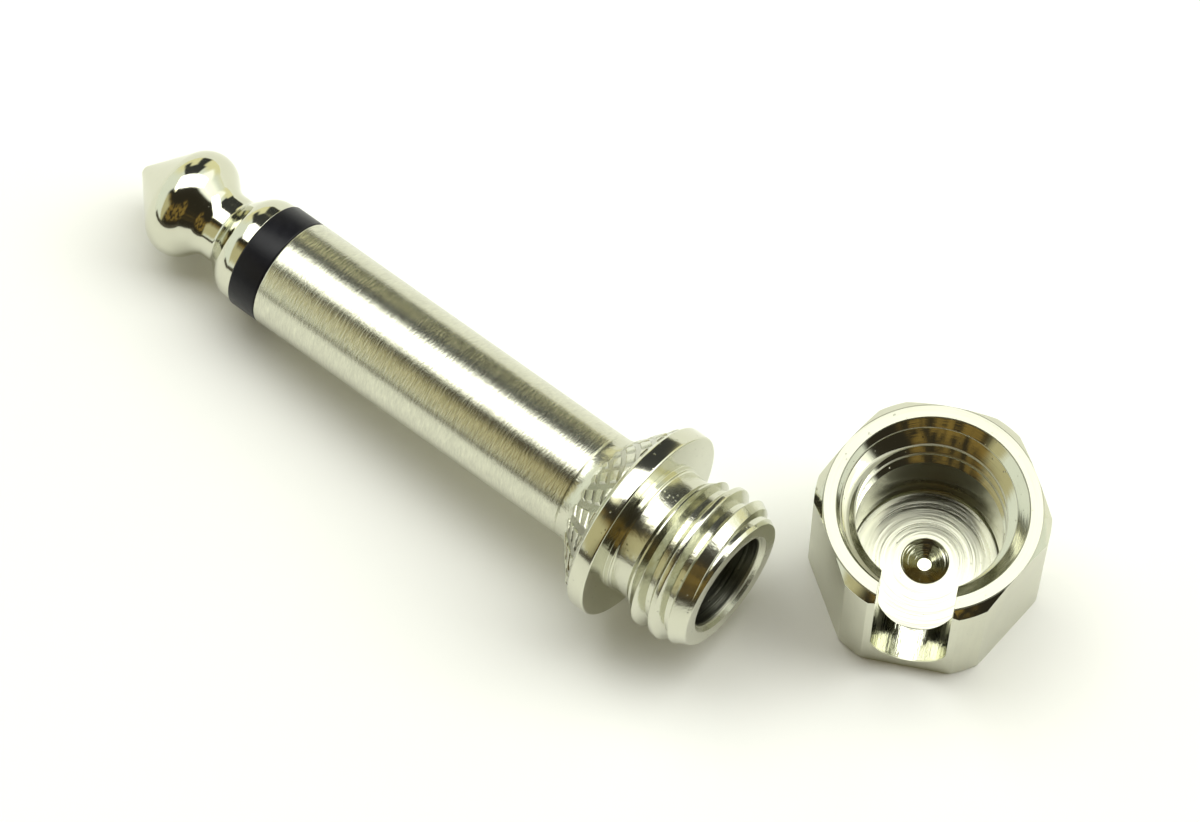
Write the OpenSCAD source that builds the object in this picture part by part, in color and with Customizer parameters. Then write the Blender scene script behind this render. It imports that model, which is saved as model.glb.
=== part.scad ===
// Solderless right-angle cable plug of 6.35 mm, lying on a table beside its unscrewed hexagon cap.
// The plug lies on the rim of its flange and on its tip; the cap stands on its closed end, mouth up.
// The origin is the middle of the cap's closed end, on the table, and the cap's cable slot faces -Y.

/* [Tip] */
// Radius of the rounded nose
nose_round = 0.5; // [0.4:0.05:0.7]
// Slope of the nose cone from the axis, in degrees
nose_slope = 46; // [45:1:48]
// Diameter of the tip where it is widest
ball_d = 6.32; // [6.2:0.02:6.34]
// Distance from the nose to the widest place
ball_at = 3.5; // [3.45:0.05:3.6]
// Rounding behind the widest place
ball_round = 1.55; // [1.4:0.05:1.7]
// Slope of the drop into the neck, in degrees
drop_slope = 43; // [41:1:46]
// Diameter of the neck
neck_d = 3.98; // [3.8:0.02:4.1]
// Rounding where the drop meets the neck
neck_round = 1.05; // [0.8:0.05:1.2]
// Straight length of the neck
neck_len = 0.65; // [0.4:0.05:0.8]
// Rounding where the neck starts to flare
flare_round = 0.35; // [0.3:0.05:0.6]
// Slope of the flare, in degrees
flare_slope = 42; // [40:1:46]
// Diameter of the collar at the end of the flare
collar_d = 6.16; // [5.9:0.02:6.16]
// Diameter of the collar where it meets the insulating ring
collar_end_d = 6.24; // [6.18:0.01:6.3]
// Rounding where the flare meets the collar
collar_round = 1.4; // [1.2:0.05:1.45]
// Length of the tapered collar, up to the insulating ring
collar_len = 0.42; // [0.2:0.01:0.6]
// Diameter of the rod that runs from the tip through the body
rod_d = 2.4; // [2:0.1:2.8]
// Diameter of the needle on the far end of the rod
needle_d = 1.1; // [0.8:0.05:1.4]
// Straight length of the needle
needle_len = 2.8; // [1.5:0.1:3.5]
// Length of the needle's sharp point
point_len = 1.8; // [1:0.1:2.5]

/* [Insulators] */
// Diameter of the insulating ring behind the tip
ring_d = 6.33; // [6.1:0.01:6.34]
// Length of the insulating ring
ring_len = 1.8; // [1.2:0.1:2.6]
// Length of the ring's spigot inside the sleeve
spigot_len = 3; // [1:0.5:4]
// Length of the bush that carries the rod at its needle end
bush_len = 3; // [1.5:0.5:6]
// Gap on each side between the insulators and the metal
press_gap = 0.02; // [0.01:0.01:0.05]

/* [Plug body] */
// Diameter of the sleeve, which is the standard plug diameter
sleeve_d = 6.35; // [6.35:0.01:6.4]
// Length of the sleeve, from the insulating ring to the cone
sleeve_len = 21; // [18:0.1:24]
// Diameter where the smooth flare ends and the knurled cone starts
cone_start_d = 6.8; // [6.5:0.1:7.2]
// Length from the sleeve to the rim, flare and cone together
cone_len = 2.62; // [2:0.02:4]
// Length of the smooth flare
lip_len = 0.75; // [0.6:0.05:1.2]
// Number of knurl grooves that lean to each side
knurl_count = 22; // [16:1:28]
// Depth of the knurl grooves
knurl_depth = 0.18; // [0.08:0.02:0.2]
// Lean of the knurl grooves from the cone's slope, in degrees
knurl_lean = 34; // [20:1:40]
// Diameter of the flange rim
rim_d = 11.28; // [10.4:0.02:12.4]
// Length of the flange rim
rim_len = 1.18; // [0.8:0.02:2]
// Bevel on the edges of the rim and of the sleeve
edge = 0.12; // [0.05:0.01:0.2]
// Diameter of the small step against the flange
step_d = 7.7; // [7.7:0.1:8.4]
// Length of the small step
step_len = 0.3; // [0.1:0.05:0.5]
// Diameter of the undercut between flange and thread
undercut_d = 7.4; // [7:0.1:7.6]
// Length from the flange to the thread
undercut_len = 1.6; // [1:0.1:2.4]
// Diameter of the bore through the sleeve, which holds the bushes and the cable
core_d = 4.1; // [3.8:0.1:4.4]
// Diameter of the wide mouth of the bore
mouth_d = 5.54; // [5:0.02:5.6]
// Depth of the wide mouth
mouth_depth = 6; // [4:0.5:7]
// Bevel at the edge of the mouth
mouth_bevel = 0.25; // [0.2:0.05:0.5]
// Depth of the narrow bore behind the mouth, down to the bush
socket_depth = 6.3; // [6:0.1:8]

/* [Thread] */
// Diameter over the thread of the body
thread_d = 9.05; // [9:0.05:9.2]
// Distance from one turn to the next
pitch = 1.27; // [1.25:0.01:1.4]
// Height of the thread
thread_h = 0.6; // [0.5:0.02:0.62]
// Width of the flat on top of the thread
crest_w = 0.28; // [0.2:0.02:0.3]
// Length of the threaded end of the body
thread_len = 3.9; // [3.5:0.1:5]
// Diameter of the end face, where the lead-in ends
end_d = 7.62; // [7:0.02:7.7]
// Length of the lead-in at the end of the thread
lead_in = 1.25; // [0.8:0.05:1.6]
// Gap on each side between the two threads
thread_gap = 0.05; // [0.02:0.01:0.06]
// Depth of thread in the cap, from the mouth
cap_thread_len = 4.1; // [3.5:0.1:5.5]

/* [Cap] */
// Height of the cap
cap_h = 9; // [8.5:0.1:11]
// Diameter over the cap's rounded corners
cap_d = 12.5; // [12.2:0.1:13]
// Width over two opposite flats
flats_w = 11.5; // [11.2:0.1:11.8]
// Height of the bevel at the top of the corners
top_bevel = 0.5; // [0.3:0.05:0.7]
// Bevel around the closed end
foot_bevel = 0.13; // [0.05:0.01:0.25]
// Thickness of the closed end
floor_t = 0.9; // [0.8:0.05:1.5]
// Diameter of the countersunk mouth at the rim
rim_hole_d = 10.22; // [9.8:0.02:10.4]
// Width of the cable slot
slot_w = 4.07; // [3.6:0.01:4.2]
// Height of the slot's round bottom above the cap's floor
slot_rise = 0.08; // [0.02:0.02:0.5]
// Diameter of the centre mark in the floor
dimple_d = 2.62; // [2:0.02:3]
// Depth of the centre mark
dimple_depth = 0.4; // [0.2:0.05:0.45]
// Diameter of the pilot hole in the centre mark
pilot_d = 0.83; // [0.6:0.01:1]
// Depth of the pilot hole below the centre mark
pilot_depth = 0.2; // [0.1:0.05:0.25]

/* [Layout] */
// Direction of the plug on the table from its tip to its thread, in degrees
plug_heading = -27.2; // [-35:0.1:-15]
// Place of the plug's threaded end on the table, along X
end_x = -9.7; // [-14:0.1:-9]
// Place of the plug's threaded end on the table, along Y
end_y = -5.3; // [-8:0.1:-4]

/* [Hidden] */
$fn = 96;
NICKEL = [0.80, 0.78, 0.72];
BLACK = [0.06, 0.06, 0.07];
// Steps of an arc, and of one turn of a thread
arc_steps = 8;
helix_steps = 24;
// How far cuts and joined shapes reach past the surface they meet
overlap = 0.1;
// Slope of the thread's flanks, and the directions where the two threads start, in degrees
flank = 30;
body_thread_start = 37;
cap_thread_start = 203;
// Where the first knurl groove sits in its spacing
knurl_phase = 0.25;
// Part by which the grooves of one side are deeper and those of the other side shallower
knurl_uneven = 0.1;

// Radii
ball_r = ball_d / 2;
neck_r = neck_d / 2;
collar_r = collar_d / 2;
rod_r = rod_d / 2;
sleeve_r = sleeve_d / 2;
rim_r = rim_d / 2;
core_r = core_d / 2;
mouth_r = mouth_d / 2;
crest_r = thread_d / 2;
root_r = crest_r - thread_h;
undercut_r = undercut_d / 2;
end_r = end_d / 2;
tap_drill_r = root_r + thread_gap;
tap_r = crest_r + thread_gap;

// Rounding of the tip's front side, which runs smoothly out of the nose cone
front_round = (ball_at * tan(nose_slope) + nose_round * (1 / cos(nose_slope) - tan(nose_slope)) - ball_r)
    / (1 / cos(nose_slope) - 1);
// Straight stretch of the drop, and the place where the neck starts
drop_len = (ball_r - neck_r - (ball_round + neck_round) * (1 - cos(drop_slope))) / sin(drop_slope);
neck_at = ball_at + (ball_round + neck_round) * sin(drop_slope) + drop_len * cos(drop_slope);
// Place where the taper of the collar starts
flare_at = neck_at + neck_len;
flare_run = (collar_r - neck_r - (flare_round + collar_round) * (1 - cos(flare_slope))) / tan(flare_slope);
collar_at = flare_at + flare_run + (flare_round + collar_round) * sin(flare_slope);

// Places along the plug, measured from the nose
ring_at = collar_at + collar_len;
sleeve_at = ring_at + ring_len;
cone_at = sleeve_at + sleeve_len;
rim_at = cone_at + cone_len;
flange_end = rim_at + rim_len;
thread_at = flange_end + undercut_len;
plug_end = thread_at + thread_len;
mouth_floor = plug_end - mouth_depth;
socket_floor = mouth_floor - socket_depth;

// The plug rests on the front edge of the rim and on the widest part of the tip
rest_run = rim_at + edge - ball_at;
rest_rise = rim_r - (ball_r - front_round);
plug_tilt = atan2(rest_rise, rest_run) - asin(front_round / norm([rest_run, rest_rise]));
nose_z = rim_r * cos(plug_tilt) - (rim_at + edge) * sin(plug_tilt);
plan_len = plug_end * cos(plug_tilt);
nose_x = end_x - plan_len * cos(plug_heading);
nose_y = end_y - plan_len * sin(plug_heading);

// Points of an arc about a centre given as radius and place; angles are measured from the radius
function arc(centre, round, from, to, steps = arc_steps) =
    [for (i = [0:steps]) let (a = from + (to - from) * i / steps)
        [centre[0] + round * cos(a), centre[1] + round * sin(a)]];

// Stands its children along the plug's axis, as the plug lies on the table
module lay_plug() {
    translate([nose_x, nose_y, nose_z])
        rotate([0, 90 - plug_tilt, plug_heading])
            children();
}

// Half the thread's width at a radius
function half_width(radius, widen) = crest_w / 2 + (crest_r - radius) * tan(flank) + widen;

// One thread as a closed strip that winds from a lower to an upper place
module helix(inner_r, outer_r, from, to, widen = 0) {
    steps = ceil((to - from) / pitch * helix_steps);
    inner_w = half_width(inner_r, widen);
    outer_w = half_width(outer_r, widen);
    section = [[inner_r, -inner_w], [inner_r, inner_w], [outer_r, outer_w], [outer_r, -outer_w]];
    points = [for (i = [0:steps], p = section) let (a = 360 * i / helix_steps)
        [p[0] * cos(a), p[0] * sin(a), from + pitch * i / helix_steps + p[1]]];
    sides = [for (i = [0:steps - 1], k = [0:3])
        let (a = 4 * i + k, b = 4 * i + (k + 1) % 4)
            each [[a, b + 4, b], [a, a + 4, b + 4]]];
    last = 4 * steps;
    ends = [[0, 1, 2], [0, 2, 3], [last, last + 2, last + 1], [last, last + 3, last + 2]];
    polyhedron(points = points, faces = concat(sides, ends));
}

// Thread of the body: one strip round the core, cut to the thread's outside
module body_thread() {
    intersection() {
        rotate([0, 0, body_thread_start])
            helix(root_r - overlap, crest_r + overlap, thread_at, plug_end + pitch / 2);
        translate([0, 0, thread_at - thread_h])
            cylinder(r = crest_r, h = plug_end - thread_at + thread_h);
    }
}

// Rings that are turned away at both ends of the thread: the undercut's slope and the lead-in
module thread_ends() {
    outside = crest_r + thread_h;
    rotate_extrude()
        polygon([
            [undercut_r, thread_at],
            [outside, thread_at + outside - undercut_r],
            [outside, flange_end + step_len],
            [undercut_r, flange_end + step_len],
        ]);
    rotate_extrude()
        polygon([
            [end_r, plug_end],
            [outside, plug_end - lead_in * (outside - end_r) / (crest_r - end_r)],
            [outside, plug_end + pitch],
            [end_r, plug_end + pitch],
        ]);
}

// Knurl grooves of the cone: straight bars on edge that lean to both sides
module knurl() {
    cone_angle = atan2(rim_r - edge - cone_start_d / 2, cone_len - lip_len);
    knurl_len = cone_len + edge - lip_len;
    middle = lip_len + knurl_len / 2;
    middle_r = cone_start_d / 2 + knurl_len / 2 * tan(cone_angle);
    bar = 2 * knurl_depth;
    bar_len = knurl_len / cos(cone_angle) / cos(knurl_lean);
    for (side = [-1, 1], i = [0:knurl_count - 1])
        rotate([0, 0, 360 * (i + knurl_phase) / knurl_count])
            translate([middle_r, 0, cone_at + middle])
                rotate([0, cone_angle, 0])
                    rotate([side * knurl_lean, 0, 0])
                        translate([bar / sqrt(2) - knurl_depth * (1 + side * knurl_uneven), 0, 0])
                            rotate([0, 0, 45])
                                cube([bar, bar, bar_len], center = true);
}

module plug_body() {
    color(NICKEL) lay_plug() difference() {
        union() {
            rotate_extrude()
                polygon([
                    [core_r, sleeve_at],
                    [sleeve_r - edge, sleeve_at],
                    [sleeve_r, sleeve_at + edge],
                    [sleeve_r, cone_at],
                    [cone_start_d / 2, cone_at + lip_len],
                    [rim_r - edge, rim_at],
                    [rim_r, rim_at + edge],
                    [rim_r, flange_end - edge],
                    [rim_r - edge, flange_end],
                    [step_d / 2, flange_end],
                    [step_d / 2, flange_end + step_len],
                    [root_r, flange_end + step_len],
                    [root_r, plug_end],
                    [mouth_r + mouth_bevel, plug_end],
                    [mouth_r, plug_end - mouth_bevel],
                    [mouth_r, mouth_floor],
                    [core_r, mouth_floor],
                ]);
            body_thread();
        }
        thread_ends();
        knurl();
    }
}

module tip_contact() {
    nose = arc([0, nose_round], nose_round, -90, -nose_slope);
    ball_front = arc([ball_r - front_round, ball_at], front_round, -nose_slope, 0);
    ball_back = arc([ball_r - ball_round, ball_at], ball_round, 0, drop_slope);
    neck_start = arc([neck_r + neck_round, neck_at], neck_round, 180 + drop_slope, 180);
    neck_flare = arc([neck_r + flare_round, flare_at], flare_round, 180, 180 - flare_slope);
    collar = arc([collar_r - collar_round, collar_at], collar_round, -flare_slope, 0);
    rod = [
        [collar_end_d / 2, ring_at],
        [rod_r, ring_at],
        [rod_r, socket_floor],
        [needle_d / 2, socket_floor],
        [needle_d / 2, socket_floor + needle_len],
        [0, socket_floor + needle_len + point_len],
    ];
    color(NICKEL) lay_plug()
        rotate_extrude()
            polygon(concat(nose, ball_front, ball_back, neck_start, neck_flare, collar, rod));
}

module front_insulator() {
    ring_r = ring_d / 2;
    color(BLACK) lay_plug() difference() {
        rotate_extrude()
            polygon([
                [0, ring_at],
                [ring_r - edge, ring_at],
                [ring_r, ring_at + edge],
                [ring_r, sleeve_at - edge],
                [ring_r - edge, sleeve_at],
                [core_r - press_gap, sleeve_at],
                [core_r - press_gap, sleeve_at + spigot_len],
                [0, sleeve_at + spigot_len],
            ]);
        translate([0, 0, ring_at - overlap])
            cylinder(r = rod_r + press_gap, h = ring_len + spigot_len + 2 * overlap);
    }
}

module rear_insulator() {
    color(BLACK) lay_plug() difference() {
        translate([0, 0, socket_floor - bush_len])
            cylinder(r = core_r - press_gap, h = bush_len);
        translate([0, 0, socket_floor - bush_len - overlap])
            cylinder(r = rod_r + press_gap, h = bush_len + 2 * overlap);
    }
}

// Round bar with six flats, bevelled at both ends
module cap_blank() {
    corner_r = cap_d / 2;
    top_r = flats_w / 2;
    intersection() {
        rotate_extrude()
            polygon([
                [0, 0],
                [corner_r - foot_bevel, 0],
                [corner_r, foot_bevel],
                [corner_r, cap_h - top_bevel],
                [top_r, cap_h],
                [0, cap_h],
            ]);
        cylinder(r = flats_w / 2 / cos(30), h = cap_h, $fn = 6);
    }
}

// Slot for the cable: straight sides and a round bottom, open at the rim and towards -Y
module cable_slot() {
    slot_r = slot_w / 2;
    slot_z = floor_t + slot_rise + slot_r;
    reach = cap_d;
    translate([0, 0, slot_z]) rotate([90, 0, 0])
        cylinder(r = slot_r, h = reach);
    translate([-slot_r, -reach, slot_z])
        cube([slot_w, reach, cap_h]);
}

module screw_cap() {
    mouth_top_r = rim_hole_d / 2;
    countersink = mouth_top_r - tap_drill_r;
    color(NICKEL) difference() {
        difference() {
            cap_blank();
            translate([0, 0, floor_t])
                cylinder(r = tap_drill_r, h = cap_h);
            translate([0, 0, cap_h - countersink])
                cylinder(r1 = tap_drill_r, r2 = mouth_top_r + overlap, h = countersink + overlap);
            translate([0, 0, floor_t - dimple_depth])
                cylinder(r1 = pilot_d / 2, r2 = dimple_d / 2, h = dimple_depth);
            translate([0, 0, floor_t - dimple_depth - pilot_depth])
                cylinder(r = pilot_d / 2, h = pilot_depth + overlap);
        }
        rotate([0, 0, cap_thread_start])
            helix(tap_drill_r - overlap, tap_r, cap_h - cap_thread_len, cap_h + pitch / 2, thread_gap);
        cable_slot();
    }
}

plug_body();
tip_contact();
front_insulator();
rear_insulator();
screw_cap();
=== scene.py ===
# %% [markdown]
# A jack plug for a thin patch cable lies on a white table beside its unscrewed cap.
# The solids come in first, as a fixed frame that nothing here moves. Every piece
# below is drawn on the bench in millimetres, round the Z axis, and is then laid in
# its place in the frame, where one unit is a metre.

# %% Load the solids
import bmesh
import bpy
import math
from mathutils import Matrix, Vector


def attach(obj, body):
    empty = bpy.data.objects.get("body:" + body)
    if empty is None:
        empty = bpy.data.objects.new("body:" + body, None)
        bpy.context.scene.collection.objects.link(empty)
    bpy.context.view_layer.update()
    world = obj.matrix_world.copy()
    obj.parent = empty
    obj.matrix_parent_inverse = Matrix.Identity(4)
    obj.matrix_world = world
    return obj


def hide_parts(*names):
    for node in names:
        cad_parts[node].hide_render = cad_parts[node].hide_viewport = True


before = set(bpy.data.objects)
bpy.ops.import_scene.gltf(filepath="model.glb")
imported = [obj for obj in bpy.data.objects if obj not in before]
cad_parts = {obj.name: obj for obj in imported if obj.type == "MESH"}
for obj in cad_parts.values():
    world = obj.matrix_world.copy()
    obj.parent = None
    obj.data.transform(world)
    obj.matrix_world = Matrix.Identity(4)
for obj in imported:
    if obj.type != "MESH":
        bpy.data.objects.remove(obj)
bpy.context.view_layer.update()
MM = 0.001
print("solids:", sorted(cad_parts))

# %% [markdown]
# The camera stands where the photograph was taken from: 300 mm away, looking down at 68
# degrees. A long lens is right for a small thing on a table, because it keeps the
# plug's two edges nearly parallel. The camera is built from its own three directions,
# so that its level line can be given.

# %% The camera
EYE = Vector((3.22, -104.08, 278.44)) * MM
AIM = Vector((-18.85, 5.40, 0.0)) * MM
LEVEL = math.radians(11.4)
FOCAL_SHARE = 5520 / 1200
SENSOR_WIDTH, NEAREST = 36.0, 0.01

camera = bpy.data.objects.new("camera", bpy.data.cameras.new("camera"))
bpy.context.scene.collection.objects.link(camera)
camera.data.sensor_fit = "HORIZONTAL"
camera.data.sensor_width = SENSOR_WIDTH
camera.data.lens = SENSOR_WIDTH * FOCAL_SHARE
camera.data.clip_start = NEAREST
forward = (AIM - EYE).normalized()
right = Vector((math.cos(LEVEL), math.sin(LEVEL), 0.0))
up = right.cross(forward)
camera.matrix_world = Matrix((right, up, -forward)).transposed().to_4x4()
camera.matrix_world.translation = EYE
bpy.context.scene.camera = camera
bpy.context.scene.view_settings.view_transform = "Standard"
print("camera:", round((AIM - EYE).length / MM), "mm from the table")

# %% [markdown]
# The plug isn't level. It rests on the rim of its flange and on the ball of its tip, so
# its axis rises towards the thread. All the plug's pieces are drawn with the nose at
# the origin and the thread up Z, and one matrix lays them on the table.

# %% Where the plug lies
NOSE = Vector((-45.89899617, 13.30375703, 2.87408842)) * MM
HEADING = math.radians(-27.2)
TILT = math.radians(4.598731)
PLUG_TURN = Matrix.Rotation(HEADING, 4, "Z") @ Matrix.Rotation(math.pi / 2 - TILT, 4, "Y")
PLUG_PLACE = Matrix.Translation(NOSE) @ PLUG_TURN
CAP_PLACE = Matrix.Identity(4)
print("the plug rises", round(math.degrees(TILT), 2), "degrees")

# %% [markdown]
# Most of this object is made on a lathe, so the main tool here is a small lathe too. A
# profile is drawn point by point, as a chain of extruded vertices, and spun round Z. A
# primitive cylinder would give the length and the width, but none of the small
# roundings that make plated metal catch the light.

# %% The lathe
TURN_STEPS = 192
MERGE = 1e-3


def drawn(name, points, closed=False):
    """An outline in the XZ plane, drawn from point to point."""
    bpy.ops.object.select_all(action="DESELECT")
    bpy.ops.mesh.primitive_plane_add(size=1.0)
    piece = bpy.context.object
    piece.name = piece.data.name = name
    bpy.ops.object.mode_set(mode="EDIT")
    bpy.ops.mesh.select_mode(type="VERT")
    bpy.ops.mesh.select_all(action="SELECT")
    bpy.ops.mesh.merge(type="CENTER")
    bpy.ops.transform.translate(value=(points[0][0], 0.0, points[0][1]))
    for (x0, z0), (x1, z1) in zip(points, points[1:]):
        bpy.ops.mesh.extrude_vertices_move(
            TRANSFORM_OT_translate={"value": (x1 - x0, 0.0, z1 - z0)})
    bpy.ops.mesh.select_all(action="SELECT")
    if closed:
        bpy.ops.mesh.edge_face_add()
    bpy.ops.object.mode_set(mode="OBJECT")
    return piece


def turned(name, points):
    """A closed piece of revolution."""
    piece = drawn(name, points)
    bpy.ops.object.mode_set(mode="EDIT")
    bpy.ops.mesh.select_all(action="SELECT")
    bpy.ops.mesh.spin(steps=TURN_STEPS, angle=math.tau, center=(0, 0, 0), axis=(0, 0, 1))
    tidy_shell()
    bpy.ops.object.mode_set(mode="OBJECT")
    return piece


def tidy_shell():
    """Closes seams and poles, and turns every face outwards."""
    bpy.ops.mesh.select_all(action="SELECT")
    bpy.ops.mesh.remove_doubles(threshold=MERGE)
    bpy.ops.mesh.normals_make_consistent(inside=False)


def arc(centre, size, start, end, steps=20):
    """Points of an arc about a centre given as radius and height, in degrees."""
    turns = [math.radians(start + (end - start) * i / steps) for i in range(steps + 1)]
    return [(centre[0] + size * math.cos(a), centre[1] + size * math.sin(a)) for a in turns]


def eased(corners, steps=5):
    """Corners as radius, height and rounding; each rounding becomes a short arc."""
    points = []
    for i, (x, z, size) in enumerate(corners):
        if not size:
            points.append((x, z))
            continue
        here = Vector((x, z))
        before = (Vector(corners[i - 1][:2]) - here).normalized()
        after = (Vector(corners[(i + 1) % len(corners)][:2]) - here).normalized()
        half = before.angle(after) / 2
        reach = size / math.tan(half)
        centre = here + (before + after).normalized() * size / math.sin(half)
        start = here + before * reach - centre
        end = here + after * reach - centre
        for k in range(steps + 1):
            spoke = start.lerp(end, k / steps).normalized() * size
            points.append(tuple(centre + spoke))
    return points


# %% [markdown]
# A finished piece is scaled from millimetres to metres, laid in its place, smoothed
# where its faces meet at a shallow angle, and handed to the frame: it rides on the
# only body and stands for its solid.

# %% Finish and hand over
SMOOTH_ANGLE = 28


def finished(piece, place, node, smooth=SMOOTH_ANGLE):
    """Lays a bench piece in the frame in place of its solid."""
    bpy.ops.object.select_all(action="DESELECT")
    bpy.context.view_layer.objects.active = piece
    piece.select_set(True)
    piece.matrix_world = place @ Matrix.Scale(MM, 4)
    bpy.ops.object.transform_apply(location=True, rotation=True, scale=True)
    bpy.ops.object.shade_smooth_by_angle(angle=math.radians(smooth))
    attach(piece, "root")
    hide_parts(node)
    print(piece.name, "has", len(piece.data.polygons), "faces")


def combined(piece, tool, operation):
    """Cuts, keeps or adds what the tool covers, and throws the tool away."""
    change = piece.modifiers.new(operation.lower(), "BOOLEAN")
    change.operation = operation
    change.solver = "EXACT"
    change.object = tool
    bpy.ops.object.select_all(action="DESELECT")
    bpy.context.view_layer.objects.active = piece
    piece.select_set(True)
    bpy.ops.object.modifier_apply(modifier=change.name)
    bpy.data.objects.remove(tool)


def joined(piece, others):
    """Makes several bench pieces one object."""
    bpy.ops.object.select_all(action="DESELECT")
    for other in others:
        other.select_set(True)
    piece.select_set(True)
    bpy.context.view_layer.objects.active = piece
    bpy.ops.object.join()


# %% [markdown]
# The tip is one turned piece: a rounded nose cone, a ball that the socket's spring
# snaps behind, a thin neck, and a flare up to the insulating ring. Its rod runs on
# inside the body to a needle that stabs the cable. The profile is arcs and straight
# lines that run into each other, because a mirror polish shows every kink.

# %% Tip
NOSE_ROUND, NOSE_SLOPE = 0.5, 46
BALL_R, BALL_AT, FRONT_ROUND = 3.16, 3.5, 1.516
BALL_ROUND, DROP = 1.55, 43
NECK_R, NECK_AT, NECK_ROUND = 1.99, 5.7788, 1.05
FLARE_AT, FLARE_ROUND, FLARE = 6.4288, 0.35, 42
COLLAR_R, COLLAR_END_R, COLLAR_AT, COLLAR_ROUND = 3.08, 3.12, 8.3112, 1.4
RING_AT, SLEEVE_AT = 8.7312, 10.5312
ROD_R, NEEDLE_R, NEEDLE_LEN = 1.2, 0.55, 2.8
POINT_R, POINT_LEN, NEEDLE_REACH = 0.04, 4.55, 4.6
SOCKET_FLOOR = 28.5312
COLLAR_EDGE, COLLAR_INSET = 0.03, 0.05

tip_profile = (
    arc((0, NOSE_ROUND), NOSE_ROUND, -90, -NOSE_SLOPE)
    + arc((BALL_R - FRONT_ROUND, BALL_AT), FRONT_ROUND, -NOSE_SLOPE, 0)
    + arc((BALL_R - BALL_ROUND, BALL_AT), BALL_ROUND, 0, DROP)
    + arc((NECK_R + NECK_ROUND, NECK_AT), NECK_ROUND, 180 + DROP, 180)
    + arc((NECK_R + FLARE_ROUND, FLARE_AT), FLARE_ROUND, 180, 180 - FLARE)
    + arc((COLLAR_R - COLLAR_ROUND, COLLAR_AT), COLLAR_ROUND, -FLARE, 0)
    + [(COLLAR_END_R - COLLAR_EDGE, RING_AT - COLLAR_EDGE)]
    + [(COLLAR_END_R - COLLAR_INSET, RING_AT), (ROD_R, RING_AT), (ROD_R, SOCKET_FLOOR)]
    + [(NEEDLE_R, SOCKET_FLOOR), (NEEDLE_R, SOCKET_FLOOR + NEEDLE_LEN)]
    + [(POINT_R, SOCKET_FLOOR + POINT_LEN), (0, SOCKET_FLOOR + NEEDLE_REACH)]
)
tip = turned("tip", tip_profile)
finished(tip, PLUG_PLACE, "tip_contact")

# %% [markdown]
# The black ring keeps the tip apart from the sleeve. It is moulded, so its edges are
# soft, and its spigot reaches into the sleeve round the rod.

# %% Insulating ring
RING_R, SPIGOT_R, SPIGOT_LEN = 3.165, 2.03, 3.0
ROD_HOLE_R, RING_ROUND, SPIGOT_ROUND = 1.22, 0.09, 0.15
ring_profile = eased([
    (ROD_HOLE_R, RING_AT, 0),
    (RING_R, RING_AT, RING_ROUND),
    (RING_R, SLEEVE_AT, RING_ROUND),
    (SPIGOT_R, SLEEVE_AT, 0),
    (SPIGOT_R, SLEEVE_AT + SPIGOT_LEN, SPIGOT_ROUND),
    (ROD_HOLE_R, SLEEVE_AT + SPIGOT_LEN, 0),
])
ring = turned("insulating_ring", ring_profile + ring_profile[:1])
finished(ring, PLUG_PLACE, "front_insulator")

# %% [markdown]
# The body is turned from one bar: the sleeve, a cone that swells to the flange, the
# rim, a small step, the undercut and the core of the thread, and the bore from both
# ends. The knurl and the thread are made apart and let into it, so that each can have
# its own fine mesh.

# %% Turned body
SLEEVE_R, CORE_R, MOUTH_R = 3.175, 2.05, 2.77
CONE_AT, CONE_R, RIM_AT, RIM_R = 31.5312, 3.4, 34.1512, 5.64
LIP_LEN, LIP_SWEEP, KNURL_DEPTH, EDGE = 0.75, 1.85, 0.11, 0.12
FLANGE_END, STEP_R, STEP_LEN = 35.3312, 3.85, 0.3
UNDERCUT_R, THREAD_AT, ROOT_R, PLUG_END = 3.7, 36.9312, 3.925, 40.8312
MOUTH_FLOOR, MOUTH_BEVEL, END_R = 34.8312, 0.25, 3.81
LINE_W, LINE_DEPTH, RIM_ROUND, RUN_OUT, END_BEVEL = 0.06, 0.07, 0.11, 0.125, 0.2
CRISP, FINE, SMALL, SOFT = 0.02, 0.03, 0.05, 0.1

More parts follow.
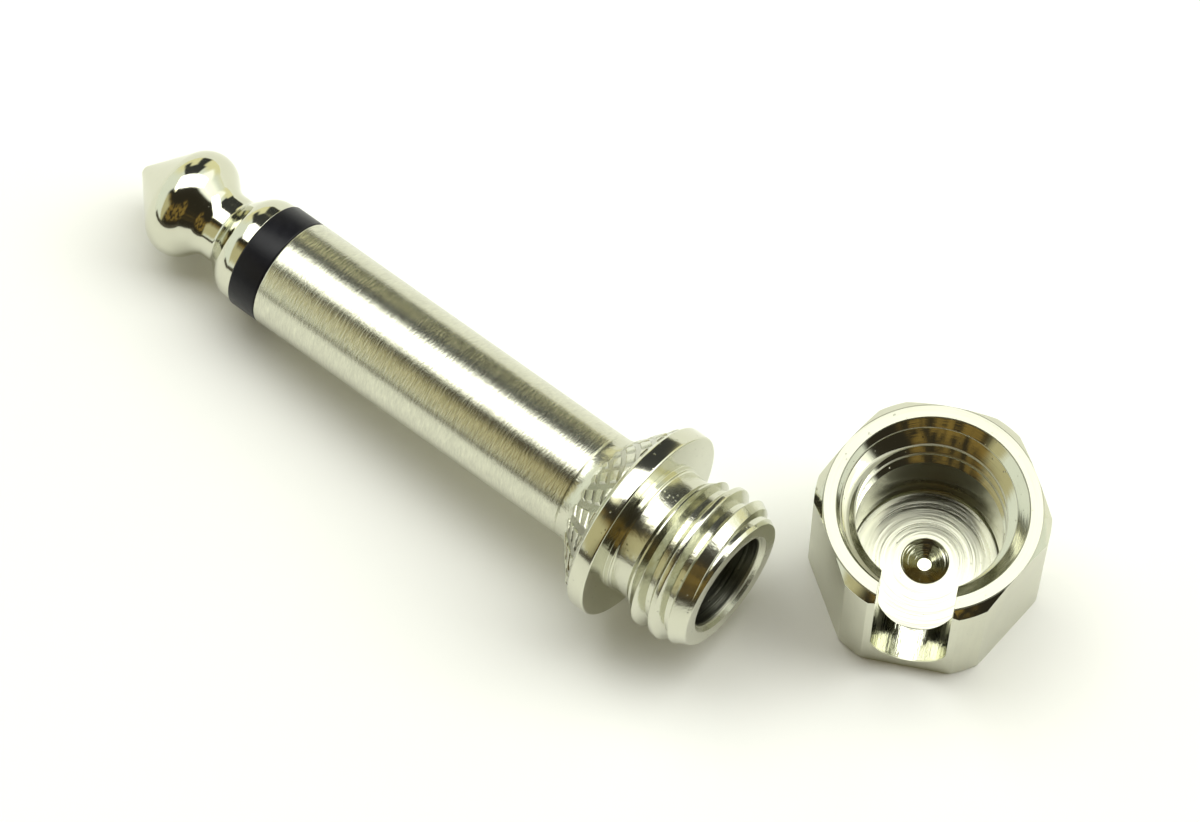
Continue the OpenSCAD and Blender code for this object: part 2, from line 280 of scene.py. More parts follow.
cone_angle = math.atan2(RIM_R - EDGE - CONE_R, RIM_AT - CONE_AT - LIP_LEN)
cone_out = Vector((math.cos(cone_angle), -math.sin(cone_angle)))
lip_end = Vector((CONE_R, CONE_AT + LIP_LEN))
cone_end = Vector((RIM_R - EDGE, RIM_AT))
floor_start = lip_end - cone_out * KNURL_DEPTH
floor_end = cone_end - cone_out * KNURL_DEPTH
body_profile = eased([
    (CORE_R, SLEEVE_AT, 0),
    (SLEEVE_R, SLEEVE_AT, SOFT),
    (SLEEVE_R, CONE_AT - 2 * LINE_W, CRISP),
    (SLEEVE_R - LINE_DEPTH, CONE_AT - LINE_W, CRISP),
    *[(x, z, 0) for x, z in arc((SLEEVE_R + LIP_SWEEP, CONE_AT), LIP_SWEEP, 180, 160, 10)],
    (floor_start.x, floor_start.y, SMALL),
    (floor_end.x, floor_end.y, SMALL),
    (cone_end.x - CRISP, cone_end.y + SOFT, SMALL),
    (RIM_R, RIM_AT + EDGE + SOFT, EDGE),
    (RIM_R, FLANGE_END, RIM_ROUND),
    (STEP_R, FLANGE_END, FINE),
    (STEP_R, FLANGE_END + STEP_LEN, SMALL),
    (UNDERCUT_R, FLANGE_END + STEP_LEN, SOFT),
    (UNDERCUT_R, THREAD_AT - SOFT, SOFT),
    (ROOT_R, THREAD_AT + RUN_OUT, SMALL),
    (ROOT_R, PLUG_END - END_BEVEL, SMALL),
    (END_R, PLUG_END, FINE),
    (MOUTH_R + MOUTH_BEVEL, PLUG_END, FINE),
    (MOUTH_R, PLUG_END - MOUTH_BEVEL, SMALL),
    (MOUTH_R, MOUTH_FLOOR, SMALL),
    (CORE_R, MOUTH_FLOOR, SMALL),
])
body = turned("plug_shell", body_profile + body_profile[:1])
print("body profile:", len(body_profile), "points")

# %% [markdown]
# The thread is a bar of its own cross section, wound by the Screw modifier. It starts
# and ends past the part, and a turned sleeve keeps what lies between the undercut and
# the lead-in, so both ends run out as a real screw's do.

# %% Thread of the body
PITCH, CREST_R, CREST_W = 1.27, 4.525, 0.28
FLANK = math.tan(math.radians(30))
THREAD_STEPS = 120
THREAD_TURNS, THREAD_START, THREAD_ROUND = 4, 37, 0.07
BURIED, INSIDE, BEYOND, SHORT = 0.1, 0.25, 0.6, 0.01
LEAD_IN = 1.25


def thread_bar(name, inner_r, outer_r, from_z, start, widen, ease):
    """A screw thread as a closed bar round Z."""
    wide = CREST_W / 2 + (CREST_R - inner_r) * FLANK + widen
    thin = CREST_W / 2 + (CREST_R - outer_r) * FLANK + widen
    tooth = eased([
        (inner_r, -wide, 0), (outer_r, -thin, ease),
        (outer_r, thin, ease), (inner_r, wide, 0),
    ], steps=3)
    bar = drawn(name, tooth + tooth[:1])
    bpy.ops.object.mode_set(mode="EDIT")
    bpy.ops.mesh.select_all(action="SELECT")
    bpy.ops.mesh.remove_doubles(threshold=MERGE)
    bpy.ops.transform.translate(value=(0, 0, from_z))
    bpy.ops.object.mode_set(mode="OBJECT")
    wind = bar.modifiers.new("wind", "SCREW")
    wind.axis = "Z"
    wind.angle = math.tau
    wind.screw_offset = PITCH
    wind.iterations = THREAD_TURNS
    wind.steps = wind.render_steps = THREAD_STEPS
    bpy.ops.object.modifier_apply(modifier=wind.name)
    bpy.ops.object.mode_set(mode="EDIT")
    bpy.ops.mesh.select_all(action="SELECT")
    bpy.ops.mesh.remove_doubles(threshold=MERGE)
    bpy.ops.mesh.fill_holes(sides=0)
    tidy_shell()
    bpy.ops.object.mode_set(mode="OBJECT")
    bar.rotation_euler = (0, 0, math.radians(start))
    bpy.ops.object.transform_apply(location=True, rotation=True, scale=True)
    return bar


thread = thread_bar("thread", ROOT_R - BURIED, CREST_R, THREAD_AT, THREAD_START, 0, THREAD_ROUND)
outer, inner = CREST_R + BEYOND, ROOT_R - INSIDE
lead_slope = LEAD_IN / (CREST_R - END_R)
envelope_points = [
    (inner, THREAD_AT + inner - UNDERCUT_R),
    (outer, THREAD_AT + outer - UNDERCUT_R),
    (outer, PLUG_END - (outer - END_R) * lead_slope),
    (END_R, PLUG_END - SHORT),
    (inner, PLUG_END - SHORT),
]
envelope = turned("thread_limits", envelope_points + envelope_points[:1])
combined(thread, envelope, "INTERSECT")
print("thread:", len(thread.data.polygons), "faces")

# %% [markdown]
# The cone is knurled: two sets of slanting grooves leave raised diamonds. A knurl can
# be cut with many bars, but by hand it is quicker the other way round. A plain cone of
# quads is poked, its old edges are dissolved, and diamonds are left; each is shrunk by
# an inset, raised by a second one, closed underneath and bevelled.

# %% Knurl
KNURL_COUNT = 22
KNURL_ROWS = 2
KNURL_SPAN = 1.5
GROOVE_W = 0.3
SUNK = 0.08
KNURL_LEAN = 18
PAD_ROUND, PAD_STEPS = 0.10, 4
PAST_RIM, PAST_LIP = 0.02, 0.4


def knurl_pads():
    """The raised diamonds of the cone, as closed pads."""
    slope = (cone_end - lip_end).normalized()
    reach = (cone_end - lip_end).length * KNURL_ROWS / KNURL_SPAN
    base = cone_end - cone_out * (KNURL_DEPTH + SUNK) + slope * PAST_RIM
    top = base - slope * reach
    bpy.ops.object.select_all(action="DESELECT")
    bpy.ops.mesh.primitive_cone_add(
        vertices=KNURL_COUNT, radius1=top.x, radius2=base.x, depth=base.y - top.y,
        end_fill_type="NOTHING", location=(0, 0, (base.y + top.y) / 2))
    pads = bpy.context.object
    pads.name = "knurl"
    bpy.ops.object.transform_apply(location=True, rotation=True, scale=True)
    bpy.ops.object.mode_set(mode="EDIT")
    bpy.ops.mesh.select_all(action="SELECT")
    bpy.ops.mesh.bisect(plane_co=(0, 0, (base.y + top.y) / 2), plane_no=(0, 0, 1))
    bpy.ops.mesh.select_all(action="SELECT")
    corners = len(bmesh.from_edit_mesh(pads.data).verts)
    bpy.ops.mesh.poke()
    bpy.ops.mesh.select_mode(type="EDGE")
    bpy.ops.mesh.select_all(action="DESELECT")
    mesh = bmesh.from_edit_mesh(pads.data)
    mesh.verts.index_update()
    for edge in mesh.edges:
        old = all(v.index < corners for v in edge.verts)
        edge.select_set(old and len(edge.link_faces) == 2)
    bmesh.update_edit_mesh(pads.data)
    bpy.ops.mesh.dissolve_edges(use_verts=False)
    bpy.ops.mesh.select_mode(type="FACE")
    bpy.ops.mesh.select_all(action="SELECT")
    limit = lip_end - slope * PAST_LIP - cone_out * (KNURL_DEPTH + SUNK)
    bpy.ops.mesh.bisect(plane_co=(0, 0, limit.y), plane_no=(0, 0, 1), clear_inner=True)
    bpy.ops.mesh.select_all(action="SELECT")
    bpy.ops.mesh.inset(thickness=GROOVE_W / 4, depth=0, use_individual=True)
    bpy.ops.mesh.select_all(action="INVERT")
    bpy.ops.mesh.delete(type="FACE")
    bpy.ops.mesh.select_all(action="SELECT")
    bpy.ops.mesh.inset(thickness=GROOVE_W / 2, depth=KNURL_DEPTH + SUNK, use_individual=True)
    bpy.ops.mesh.select_all(action="SELECT")
    bpy.ops.mesh.fill_holes(sides=0)
    tidy_shell()
    bpy.ops.object.mode_set(mode="OBJECT")
    return pads


knurl = knurl_pads()
lean = knurl.modifiers.new("lean", "SIMPLE_DEFORM")
lean.deform_method = "TWIST"
lean.deform_axis = "Z"
lean.angle = math.radians(KNURL_LEAN)
bpy.ops.object.modifier_apply(modifier=lean.name)
soften = knurl.modifiers.new("soften", "BEVEL")
soften.width = PAD_ROUND
soften.segments = PAD_STEPS
soften.limit_method = "ANGLE"
bpy.ops.object.modifier_apply(modifier=soften.name)
print("knurl:", len(knurl.data.polygons), "faces")

joined(body, [thread, knurl])
finished(body, PLUG_PLACE, "plug_body")

# %% [markdown]
# The cap starts as hexagon bar. Its corners are turned round, its mouth is drilled,
# countersunk and tapped, and a slot for the cable is milled into one flat. The same
# order is kept here: hexagon, lathe, drill, tap, mill. First the blank: a cylinder with
# six sides, cut to what a turned shape leaves of it, so that the corners get the curved
# bevels that every turned hexagon has.

# %% Cap blank
CAP_H, CAP_R, FLATS_R = 9.0, 6.25, 5.75
TOP_BEVEL, FOOT_BEVEL, FLOOR_T = 0.5, 0.13, 0.9
FOOT_ROUND, TOP_ROUND, BROKEN_EDGE = 0.05, 0.06, 0.035

bpy.ops.object.select_all(action="DESELECT")
bpy.ops.mesh.primitive_cylinder_add(
    vertices=6, radius=FLATS_R / math.cos(math.pi / 6), depth=CAP_H + 2,
    location=(0, 0, CAP_H / 2), rotation=(0, 0, math.pi / 6))
cap = bpy.context.object
cap.name = cap.data.name = "hexagon_cap"
bpy.ops.object.transform_apply(location=True, rotation=True, scale=True)
blank_profile = eased([
    (0, 0, 0),
    (CAP_R - FOOT_BEVEL, 0, FOOT_ROUND),
    (CAP_R, FOOT_BEVEL, FOOT_ROUND),
    (CAP_R, CAP_H - TOP_BEVEL, TOP_ROUND),
    (FLATS_R, CAP_H, TOP_ROUND),
    (0, CAP_H, 0),
])
combined(cap, turned("cap_turning", blank_profile), "INTERSECT")
break_edges = cap.modifiers.new("break_edges", "BEVEL")
break_edges.width = BROKEN_EDGE
break_edges.segments = 2
break_edges.limit_method = "ANGLE"
break_edges.angle_limit = math.radians(14)
bpy.ops.object.modifier_apply(modifier=break_edges.name)
print("cap blank:", len(cap.data.polygons), "faces")

# %% [markdown]
# One turned tool stands for the drill, the centre mark and the countersink. The tap is
# the thread bar once more, a little wider and deeper than the body's thread so that the
# two would run freely. The slot is an outline with a round bottom, pushed through one
# flat, as a milling cutter would leave it. The thread's edges stay sharp, so faces are
# smoothed here only where they are nearly level with each other.

# %% Drill, tap and mill the cap
TAP_DRILL_R, TAP_R, RIM_HOLE_R = 3.975, 4.78, 5.11
DIMPLE_R, DIMPLE_DEPTH, PILOT_R, PILOT_DEPTH = 1.31, 0.4, 0.415, 0.2
SLOT_R, SLOT_RISE = 2.035, 0.08
THREAD_GAP, CAP_THREAD_LEN, TAP_START, TAP_ROUND = 0.12, 4.1, 203, 0.06
PILOT_ROUND, MARK_EDGE, MARK_ROUND, FLOOR_ROUND = 0.05, 0.03, 0.06, 0.12
SINK_ROUND, ABOVE, SHALLOW_ANGLE = 0.05, 0.5, 13

sink = RIM_HOLE_R - TAP_DRILL_R
pilot_floor = FLOOR_T - DIMPLE_DEPTH - PILOT_DEPTH
drill_profile = eased([
    (0, pilot_floor, 0),
    (PILOT_R, pilot_floor, PILOT_ROUND),
    (PILOT_R, FLOOR_T - DIMPLE_DEPTH, MARK_EDGE),
    (DIMPLE_R, FLOOR_T, MARK_ROUND),
    (TAP_DRILL_R, FLOOR_T, FLOOR_ROUND),
    (TAP_DRILL_R, CAP_H - sink, SINK_ROUND),
    (RIM_HOLE_R + ABOVE, CAP_H + ABOVE, 0),
    (0, CAP_H + ABOVE, 0),
])
combined(cap, turned("drill", drill_profile), "DIFFERENCE")
tap_from = CAP_H - CAP_THREAD_LEN
tap = thread_bar("tap", TAP_DRILL_R - BURIED, TAP_R, tap_from, TAP_START, THREAD_GAP, TAP_ROUND)
combined(cap, tap, "DIFFERENCE")

slot_z = FLOOR_T + SLOT_RISE + SLOT_R
slot_outline = arc((0, slot_z), SLOT_R, 180, 360, steps=48)
slot_outline += [(SLOT_R, CAP_H + 1), (-SLOT_R, CAP_H + 1)]
slot = drawn("slot_mill", slot_outline, closed=True)
bpy.ops.object.mode_set(mode="EDIT")
bpy.ops.mesh.select_all(action="SELECT")
bpy.ops.mesh.extrude_region_move(TRANSFORM_OT_translate={"value": (0, -2 * CAP_R, 0)})
tidy_shell()
bpy.ops.object.mode_set(mode="OBJECT")
combined(cap, slot, "DIFFERENCE")
finished(cap, CAP_PLACE, "screw_cap", smooth=SHALLOW_ANGLE)

# %% [markdown]
# Shader sums are easier to read as sums. This small class wraps one socket: plus, minus
# and times add Math nodes, and one method adds any other node.

# %% Sums for materials


class Wire:
    """One value on its way through a material."""

    def __init__(self, socket):
        self.socket = socket
        self.tree = socket.id_data

    def node(self, kind, settings=None, inputs=None, output=0):
        """Adds a node: its settings first, then the values or wires of its sockets."""
        made = self.tree.nodes.new("ShaderNode" + kind)
        for name, value in (settings or {}).items():
            setattr(made, name, value)
        for name, value in (inputs or {}).items():
            if isinstance(value, Wire):
                self.tree.links.new(value.socket, made.inputs[name])
            else:
                made.inputs[name].default_value = value
        return Wire(made.outputs[output])

    def math(self, operation, first, second=0.0):
        return self.node("Math", {"operation": operation}, {0: first, 1: second})

    def __add__(self, other):
        return self.math("ADD", self, other)

    def __sub__(self, other):
        return self.math("SUBTRACT", self, other)

    def __rsub__(self, other):
        return self.math("SUBTRACT", other, self)

    def __mul__(self, other):
        return self.math("MULTIPLY", self, other)

    __radd__ = __add__
    __rmul__ = __mul__


def rising(value, at, soft):
    """0 below a place and 1 above it, with a soft edge."""
    return value.node("MapRange", {"interpolation_type": "SMOOTHSTEP"},
                      {"Value": value, "From Min": at - soft, "From Max": at + soft})


def blended(part, first, second):
    """A mix of two colours."""
    return part.node("Mix", {"data_type": "RGBA"}, {0: part, 6: first, 7: second}, 2)


print("sums are ready")

# %% [markdown]
# The table is plain white and a little dull, so that it keeps the soft shadows. One wide
# panel hangs above and behind the object. It is large for such a small thing, because
# plated metal shows the lamp itself, and a small lamp would be only a dot.

# %% Table and panel
TABLE_SIZE, TABLE_WHITE = 2.4, (0.95, 0.955, 0.935, 1)
PANEL_X, PANEL_Y, PANEL_GLOW = 2.4, 0.70, 2.8
PANEL_WHITE, PANEL_AT = (1.0, 1.0, 0.97), Vector((0.5, 0.355, 1.0))

bpy.ops.object.select_all(action="DESELECT")
bpy.ops.mesh.primitive_plane_add(size=TABLE_SIZE)
table = bpy.context.object
table.name = "table"
table_finish = bpy.data.materials.new("white_table")
table_finish.use_nodes = True
table_shader = table_finish.node_tree.nodes["Principled BSDF"]
table_shader.inputs["Base Color"].default_value = TABLE_WHITE
table_shader.inputs["Roughness"].default_value = 0.7
table_shader.inputs["Specular IOR Level"].default_value = 0.1
table.data.materials.append(table_finish)

panel = bpy.data.objects.new("panel", bpy.data.lights.new("panel", "AREA"))
bpy.context.scene.collection.objects.link(panel)
panel.data.shape = "RECTANGLE"
panel.data.size, panel.data.size_y = PANEL_X, PANEL_Y
panel.data.energy = PANEL_GLOW * math.pi * PANEL_X * PANEL_Y
panel.data.color = PANEL_WHITE
panel.matrix_world = Matrix.Translation(PANEL_AT)
print("panel:", round(panel.data.energy, 1), "watts")

# %% [markdown]
# Plated metal is only as good as the room it shows. The object stands in a white tent
# that is open towards the camera: cream walls to the left, right and back, brightest at
# the right, one dark gap in the back wall, and in front the dark, brown room outside the
# tent. Each patch is placed by the direction that the sleeve or the rim mirrors, in
# degrees round the object and down from the top.

# %% The room
CREAM = (1.05, 1.10, 1.00, 1)
BEIGE = (1.06, 1.02, 0.64, 1)
GAP_DARK = (0.055, 0.057, 0.055, 1)
NIGHT = (0.035, 0.03, 0.02, 1)
HORIZON = (0.10, 0.09, 0.07, 1)
AMBER = (0.30, 0.20, 0.055, 1)
TAN = (0.66, 0.61, 0.36, 1)
BRIGHT = (1.65, 1.68, 1.55, 1)
LAMP = (1.5, 1.45, 1.05, 1)
LAMP_WAY, LAMP_EDGE, LAMP_BLUR = (-0.437, -0.03, 0.899), 0.9976, 0.0008
FRONT_SIDES = (0, -0.995, 0.1), (0.568, -0.465, 0.679), (-0.30, -0.925, 0.237)
FRONT_BLUR = 0.06
DEGREES = 180 / math.pi

room = bpy.data.worlds.new("room")
bpy.context.scene.world = room
room.use_nodes = True
look = Wire(room.node_tree.nodes.new("ShaderNodeTexCoord").outputs["Generated"])


def toward(direction):
    """How far a look into the room goes along a direction."""
    return look.node("VectorMath", {"operation": "DOT_PRODUCT"}, {0: look, 1: direction}, "Value")


east = look.node("SeparateXYZ", {}, {0: look}, "X")
north = look.node("SeparateXYZ", {}, {0: look}, "Y")
height = look.node("SeparateXYZ", {}, {0: look}, "Z")
from_top = height.math("ARCCOSINE", height) * DEGREES
from_back = east.math("ARCTAN2", -1 * east, north) * DEGREES
from_front = east.math("ARCTAN2", east, -1 * north) * DEGREES


def window(bearing, left, right, top, bottom, soft=3.0):
    """1 inside a patch of the room, given in degrees from the middle and from the top."""
    return (rising(bearing, left, soft) * (1 - rising(bearing, right, soft))
            * rising(from_top, top, soft) * (1 - rising(from_top, bottom, soft)))


clutter = look.node("TexNoise", {"noise_dimensions": "3D"},
                    {"Vector": look, "Scale": 8.5, "Detail": 3.0, "Roughness": 0.55})
amber_part = rising(clutter, 0.49, 0.07) * window(from_front, -80, 42, 40, 73, 6)
front_room = blended(amber_part, NIGHT, AMBER)
front_room = blended(window(from_front, -85, -40, 45, 95, 6), front_room, TAN)
front_low, front_left, front_right = (
    rising(toward(side), 0.0, FRONT_BLUR) for side in FRONT_SIDES)
open_front = front_low * front_left * front_right
back_gap = 1 - ((1 - window(from_back, -24, 32, 30, 63))
                * (1 - window(from_back, -15, 4, 30, 90))
                * (1 - window(from_back, 20, 32, 30, 78)))
walls = blended(window(from_back, -60, 45, 58, 180, 10), CREAM, BEIGE)
walls = blended(window(from_back, -115, -42, 40, 74, 6), walls, BRIGHT)
walls = blended(back_gap, walls, GAP_DARK)
walls = blended(open_front, walls, front_room)
lamp_spot = rising(toward(LAMP_WAY), LAMP_EDGE, LAMP_BLUR)
walls = blended(lamp_spot, walls, LAMP)
walls = blended(window(from_front, -72, 20, 83, 96, 2), walls, HORIZON)
background = room.node_tree.nodes["Background"]
room.node_tree.links.new(walls.socket, background.inputs["Color"])
background.inputs["Strength"].default_value = 1.0
print("room:", len(room.node_tree.nodes), "nodes")

# %% [markdown]
# A finish is drawn in the piece's own bench coordinates, in millimetres: Z runs along
# the turned axis, and the distance from that axis is the radius. So each machining mark
# can follow the tool that left it, and a band of the finish can start and end at the
# same sizes as the shape.

# %% Bench coordinates of a finish
NICKEL = (0.62, 0.622, 0.505)


class Bench:
    """A new finish, with its shader and the bench coordinates of its piece."""

    def __init__(self, name, at=(0, 0, 0), turn=(0, 0, 0)):
        self.finish = bpy.data.materials.new(name)
        self.finish.use_nodes = True
        tree = self.finish.node_tree
        self.shader = tree.nodes["Principled BSDF"]
        spot = Wire(tree.nodes.new("ShaderNodeTexCoord").outputs["Object"])
        self.spot = spot.node(
            "Mapping", {"vector_type": "TEXTURE"},
            {"Vector": spot, "Location": at, "Rotation": turn, "Scale": (MM, MM, MM)})
        self.x, self.y, self.z = (
            self.spot.node("SeparateXYZ", {}, {0: self.spot}, part) for part in "XYZ")
        self.radius = self.x.math("SQRT", self.x * self.x + self.y * self.y)

    def plug_in(self, socket, value):
        """Wires a value to the shader."""
        self.finish.node_tree.links.new(value.socket, self.shader.inputs[socket])

    def noise(self, vector, scale=1.0, detail=2.0, rough=0.5):
        """Soft grains, so many to a millimetre."""
        return self.spot.node(
            "TexNoise", {"noise_dimensions": "3D"},
            {"Vector": vector, "Scale": scale, "Detail": detail, "Roughness": rough})

    def stretched(self, x, y, z, **more):
        """Noise with its own number of grains to a millimetre along each axis."""
        vector = self.spot.node(
            "VectorMath", {"operation": "MULTIPLY"}, {0: self.spot, 1: (x, y, z)})
        return self.noise(vector, **more)

    def turning(self, lines, wander, **more):
        """Marks of a lathe tool: fine lines round the axis that slowly come and go."""
        along = (self.radius + 1.3 * self.z) * lines
        vector = self.spot.node(
            "CombineXYZ", {}, {0: along, 1: self.x * wander, 2: self.y * wander})
        return self.noise(vector, **more)

    def specks(self, scale, size):
        """Small round pits and dust, one in some cells only."""
        cell = self.spot.node(
            "TexVoronoi", {"feature": "F1"}, {"Vector": self.spot, "Scale": scale}, "Distance")
        odds = self.noise(self.spot, scale * 0.6, 1.0)
        return (1 - rising(cell, size, size * 0.4)) * rising(odds, 0.56, 0.03)

    def raised(self, height, distance):
        """Turns a height into a bend of the surface's normal; the distance is in millimetres."""
        return self.spot.node(
            "Bump", {}, {"Height": height, "Distance": distance * MM, "Strength": 1.0})

    def tint(self, value):
        """Nickel, lighter or darker by a wire."""
        grey = self.spot.node("CombineXYZ", {}, {0: value, 1: value, 2: value})
        return self.spot.node("VectorMath", {"operation": "MULTIPLY"}, {0: grey, 1: NICKEL})


print("nickel:", NICKEL)

# %% [markdown]
# The body carries four finishes of one plating. The sleeve is satin, brushed round its
# axis, so the edges of what it mirrors are ragged. The cone and the lip are crushed by the
# knurling wheel and a little pitted, and their grooves are painted darker, for dirt and
# painted shade. The flange is nearly a mirror and the thread is a little uneven. The bore
# keeps the coarse marks of the drill, and is painted darker as painted shade in the hole.

# %% Finish of the body
plug_turn = PLUG_TURN.to_euler()
nickel_body = Bench("body_nickel", NOSE, plug_turn)
nickel_body.shader.inputs["Metallic"].default_value = 1.0
on_sleeve = 1 - rising(nickel_body.z, CONE_AT - 0.05, 0.03)
on_cone = (rising(nickel_body.z, CONE_AT - 0.05, 0.03)
           * (1 - rising(nickel_body.z, RIM_AT - 0.02, 0.03)))
in_bore = ((1 - rising(nickel_body.radius, MOUTH_R + 0.05, 0.03))
           * rising(nickel_body.z, MOUTH_FLOOR - 0.5, 0.1))
on_thread = rising(nickel_body.z, FLANGE_END + STEP_LEN, 0.05) * (1 - in_bore)
# The groove floors between the diamonds: partly dirt, partly painted shade, painted darker into
# the base colour below.
below_pads = ((nickel_body.radius - lip_end.x) * cone_out.x
              + (nickel_body.z - lip_end.y) * cone_out.y)
groove_dirt_and_shade = ((1 - rising(below_pads, -0.06, 0.04))
             * rising(nickel_body.z, lip_end.y + 0.1, 0.1) * on_cone)
on_bevel = ((1 - rising(nickel_body.radius, MOUTH_R + MOUTH_BEVEL, 0.02))
            * rising(nickel_body.z, PLUG_END - 0.4, 0.05))

brushing = nickel_body.turning(7.0, 1.6, detail=4.0, rough=0.65)
fine_lines = nickel_body.turning(5.0, 0.25, detail=2.0)
pits = nickel_body.specks(3.5, 0.16)
cloud = nickel_body.noise(nickel_body.spot, 0.8, 3.0)
crush = nickel_body.noise(nickel_body.spot, 3.0, 3.0)

body_rough = (0.10 + on_sleeve * (0.05 + 0.08 * brushing) + on_cone * (0.08 + 0.10 * cloud)
              + on_thread * 0.07 + in_bore * 0.18 + on_bevel * 0.08 + 0.04 * cloud)
nickel_body.plug_in("Roughness", body_rough)
# Inside the bore the base colour is painted darker, as painted shade down the hole; the groove
# floors get dirt and painted shade.
body_light = (0.94 + 0.12 * cloud - 0.25 * pits * (1 - on_sleeve)
              + on_sleeve * 0.70 * (brushing - 0.5) - groove_dirt_and_shade * 0.30
              - in_bore * (1 - on_bevel) * (1.1 - fine_lines))
nickel_body.plug_in("Base Color", nickel_body.tint(body_light))
body_height = (1.8 * brushing * on_sleeve + fine_lines * (0.25 - 0.25 * on_sleeve)
               + in_bore * 3.0 * fine_lines + on_cone * 2.4 * crush
               + on_thread * 1.3 * crush - 0.6 * pits * (1 - on_sleeve))
nickel_body.plug_in("Normal", nickel_body.raised(body_height, 0.010))
body.data.materials.append(nickel_body.finish)
print("body finish:", len(nickel_body.finish.node_tree.nodes), "nodes")

# %% [markdown]
# The tip is polished and stays a mirror. Only hair lines from the last pass of the
# tool, and small handling marks, break what it shows.

# %% Finish of the tip
nickel_tip = Bench("tip_nickel", NOSE, plug_turn)
nickel_tip.shader.inputs["Metallic"].default_value = 1.0
tip_lines = nickel_tip.turning(6.0, 0.3, detail=2.0)
tip_cloud = nickel_tip.noise(nickel_tip.spot, 1.1, 3.0)
tip_pits = nickel_tip.specks(2.6, 0.10)
nickel_tip.plug_in("Roughness", 0.065 + 0.05 * tip_cloud + 0.1 * tip_pits)
nickel_tip.plug_in("Base Color", nickel_tip.tint(0.97 + 0.08 * tip_cloud - 0.25 * tip_pits))
tip_height = tip_lines + 1.4 * tip_cloud - 1.2 * tip_pits
nickel_tip.plug_in("Normal", nickel_tip.raised(tip_height, 0.0022))
tip.data.materials.append(nickel_tip.finish)
print("tip finish:", len(nickel_tip.finish.node_tree.nodes), "nodes")

# %% [markdown]
# On the cap each tool left its own marks. The flats are drawn bar, satin with lines
# that run up the bar. The rim is faced and the floor is cut on the lathe, so both carry
# rings. The threads and the centre mark are bright, and the slot is milled, with
# streaks along the cut. The tap leaves the thread's crests and its edges in the
# countersink a little rough, so they show as thin pale lines.

# %% Finish of the cap
nickel_cap = Bench("cap_nickel")
nickel_cap.shader.inputs["Metallic"].default_value = 1.0
beside = nickel_cap.x.math("ABSOLUTE", nickel_cap.x)
in_slot = ((1 - rising(beside, SLOT_R + 0.03, 0.01)) * (1 - rising(nickel_cap.y, -3.0, 0.05))
           * rising(nickel_cap.radius, TAP_DRILL_R - 0.04, 0.03)
           * rising(nickel_cap.y, 0.05 - FLATS_R, 0.01))
on_rim = rising(nickel_cap.z, CAP_H - 0.05, 0.02)
on_floor = ((1 - rising(nickel_cap.z, FLOOR_T + 0.1, 0.05))
            * (1 - rising(nickel_cap.radius, TAP_DRILL_R + 0.05, 0.05)))
in_mark = (1 - rising(nickel_cap.radius, DIMPLE_R - 0.04, 0.03)) * on_floor
on_top_bevel = (rising(nickel_cap.radius + nickel_cap.z, CAP_R + CAP_H - TOP_BEVEL - 0.06, 0.03)
                * rising(nickel_cap.z, CAP_H - TOP_BEVEL - 0.1, 0.05) * (1 - on_rim))
outside = (rising(nickel_cap.radius, 5.2, 0.05)
           * (1 - on_rim) * (1 - in_slot) * (1 - on_top_bevel))
cut_floor = on_floor * (1 - in_mark)

part_turn = nickel_cap.x.math("ARCTAN2", nickel_cap.y, nickel_cap.x) * (1 / math.tau)
wound = (nickel_cap.z - tap_from) * (1 / PITCH) - part_turn + TAP_START / 360
from_crest = wound.math("ABSOLUTE", wound.math("FRACT", wound) - 0.5)
on_crest = ((1 - rising(from_crest, 0.075, 0.02)) * rising(nickel_cap.z, tap_from + 0.6, 0.1)
            * (1 - rising(nickel_cap.radius, TAP_DRILL_R + 0.14, 0.04)))
from_mouth = nickel_cap.radius - nickel_cap.z + (CAP_H - RIM_HOLE_R)
from_flank = ((0.5 - from_crest) * PITCH - (CREST_R - nickel_cap.radius) * FLANK
              - (CREST_W / 2 + THREAD_GAP))
on_edge = ((1 - rising(wound.math("ABSOLUTE", from_mouth), 0.045, 0.015))
           * (1 - rising(wound.math("ABSOLUTE", from_flank), 0.055, 0.015)))

rings = nickel_cap.turning(3.2, 0.12, detail=3.0, rough=0.6)
fine_rings = nickel_cap.turning(9.0, 0.3, detail=2.0)
bar_lines = nickel_cap.stretched(5.0, 5.0, 0.35, detail=3.0, rough=0.6)
cut_lines = nickel_cap.stretched(5.0, 0.4, 5.0, detail=3.0, rough=0.65)
cap_pits = nickel_cap.specks(3.0, 0.12)
cap_cloud = nickel_cap.noise(nickel_cap.spot, 0.7, 3.0)

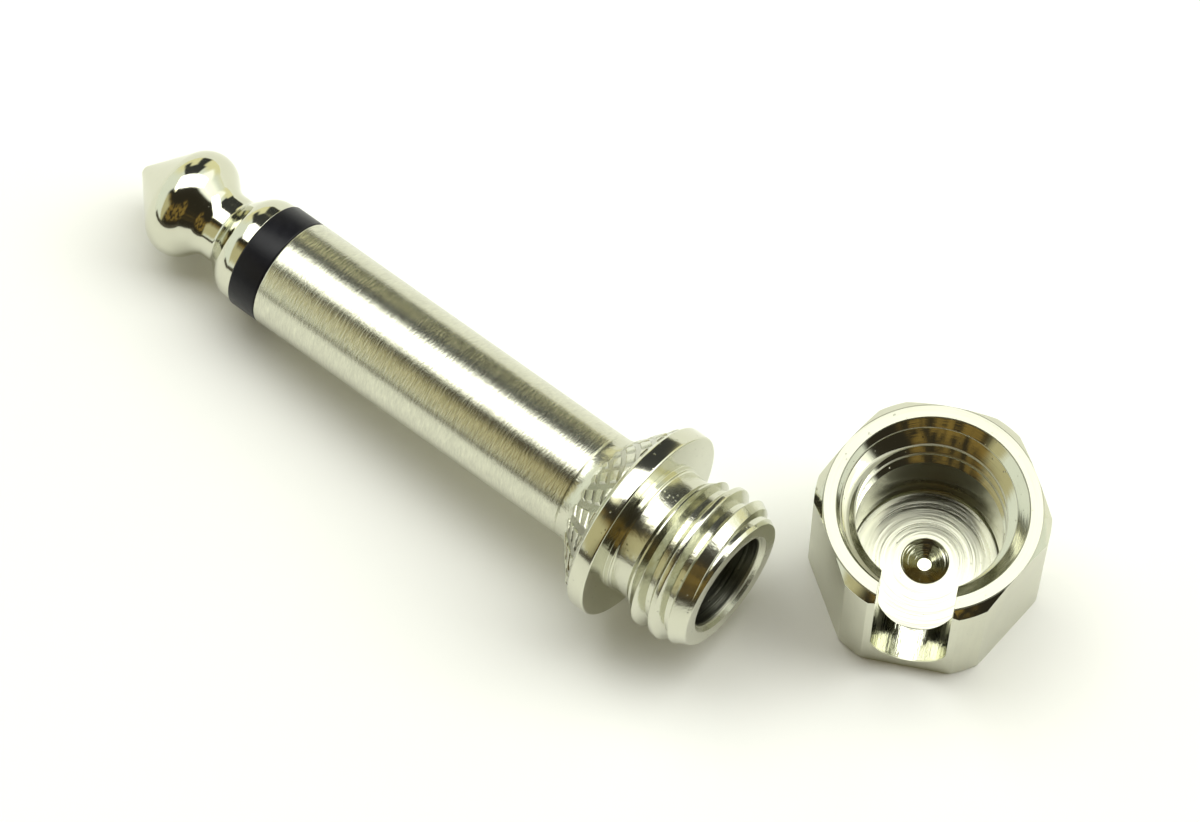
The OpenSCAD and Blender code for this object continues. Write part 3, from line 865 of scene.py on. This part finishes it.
cap_rough = (0.07 + outside * (0.17 + 0.12 * bar_lines) + on_rim * (0.20 + 0.16 * fine_rings)
             + cut_floor * (0.14 + 0.12 * rings) + in_slot * 0.03
             + (on_crest + on_edge) * 0.45 + 0.03 * cap_cloud)
nickel_cap.plug_in("Roughness", cap_rough)
cap_light = (0.95 + 0.10 * cap_cloud - 0.2 * cap_pits + outside * 0.14 * (bar_lines - 0.5)
             + on_rim * (0.3 * fine_rings - 0.50) + cut_floor * (0.7 * rings - 0.62))
nickel_cap.plug_in("Base Color", nickel_cap.tint(cap_light))
cap_height = (outside * 0.5 * bar_lines + on_rim * 0.4 * fine_rings + cut_floor * 2.8 * rings
              + in_slot * 2.5 * cut_lines + (0.2 + 1.6 * in_mark) * fine_rings - 0.5 * cap_pits)
nickel_cap.plug_in("Normal", nickel_cap.raised(cap_height, 0.012))
cap.data.materials.append(nickel_cap.finish)
print("cap finish:", len(nickel_cap.finish.node_tree.nodes), "nodes")

# %% [markdown]
# The ring and the bush are moulded black plastic. It is satin, a little uneven, and
# its black is faintly blue. The bush sits deep in the bore and keeps its solid's shape.

# %% Finish of the insulators
PLASTIC_DARK, PLASTIC_LIGHT = (0.003, 0.003, 0.005, 1), (0.012, 0.012, 0.018, 1)
plastic = Bench("black_plastic", NOSE, plug_turn)
moulding = plastic.noise(plastic.spot, 2.2, 4.0, 0.6)
scuffs = plastic.turning(4.0, 0.6, detail=3.0, rough=0.6)
dust = plastic.specks(4.0, 0.12)
plastic.plug_in("Roughness", 0.22 + 0.16 * moulding + 0.08 * scuffs)
plastic.shader.inputs["Specular IOR Level"].default_value = 0.22
plastic_light = blended(0.6 * moulding + 0.3 * dust, PLASTIC_DARK, PLASTIC_LIGHT)
plastic.plug_in("Base Color", plastic_light)
plastic.plug_in("Normal", plastic.raised(moulding + 0.6 * scuffs, 0.008))
ring.data.materials.append(plastic.finish)
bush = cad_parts["rear_insulator"]
bush.data.materials.clear()
bush.data.materials.append(plastic.finish)
print("plastic finish:", len(plastic.finish.node_tree.nodes), "nodes")
